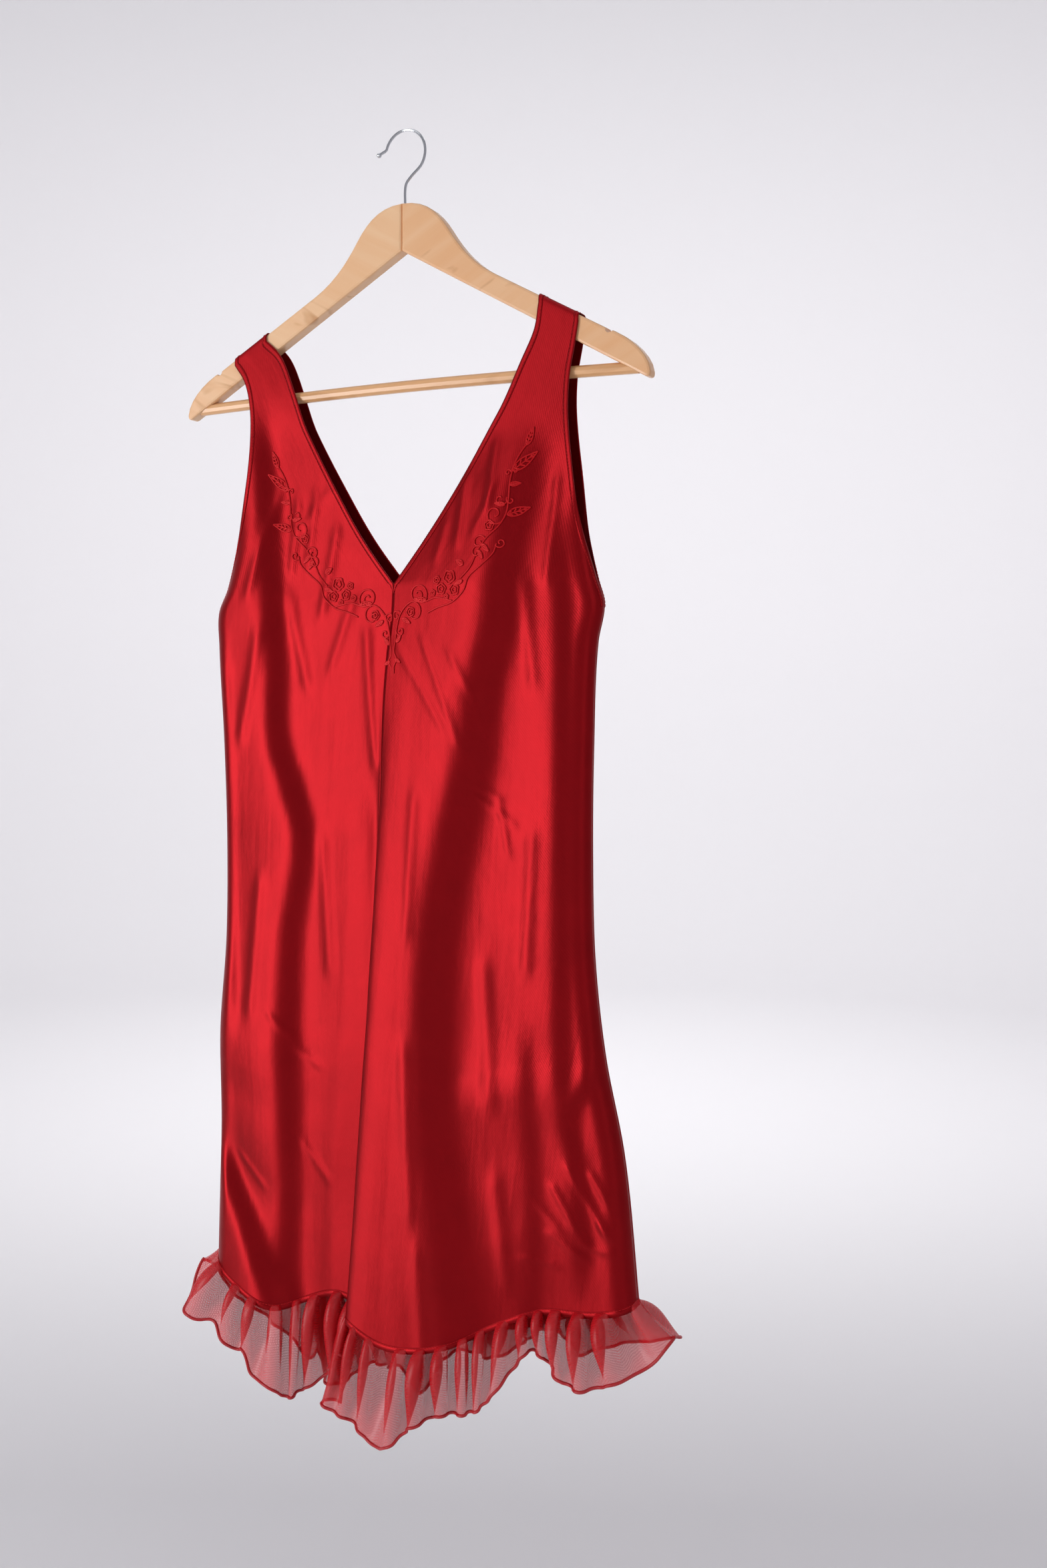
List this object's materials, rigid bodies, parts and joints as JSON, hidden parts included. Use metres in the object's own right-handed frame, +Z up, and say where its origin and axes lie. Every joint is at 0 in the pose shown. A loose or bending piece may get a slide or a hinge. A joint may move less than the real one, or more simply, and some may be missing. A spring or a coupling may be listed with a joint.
{
  "type": "slip dress on a clothes hanger",
  "caption": "Sleeveless satin slip dress with a V neck, a lapped centre front seam and a sheer gathered hem ruffle, hung on a flat wooden hanger with a trouser bar and a wire hook.",
  "frame": {"origin": "inside top of the hook, where a rail or a nail bears, in the middle of the wire's thickness", "axes": "+Z up the dress's length, -Y out of the front of the dress, +X to the right of a viewer who faces the front"},
  "size_m": [0.4703, 0.0886, 1.1024],
  "materials": {
    "dress_satin": "glossy satin",
    "ruffle_organza": "sheer",
    "hanger_wood": "satin lacquer",
    "hook_wire": "polished"
  },
  "bodies": {
    "root": {"hook": "hook_wire", "hanger_arm_left": "hanger_wood", "hanger_arm_right": "hanger_wood", "trouser_bar": "hanger_wood", "front_left": "dress_satin", "front_right": "dress_satin", "back": "dress_satin", "neck_edge_front_left": "dress_satin", "neck_edge_front_right": "dress_satin", "neck_edge_back_left": "dress_satin", "neck_edge_back_right": "dress_satin", "armhole_edge_front_left": "dress_satin", "armhole_edge_front_right": "dress_satin", "armhole_edge_back_left": "dress_satin", "armhole_edge_back_right": "dress_satin", "ruffle_front": "ruffle_organza", "ruffle_back": "ruffle_organza"}
  },
  "joints": []
}
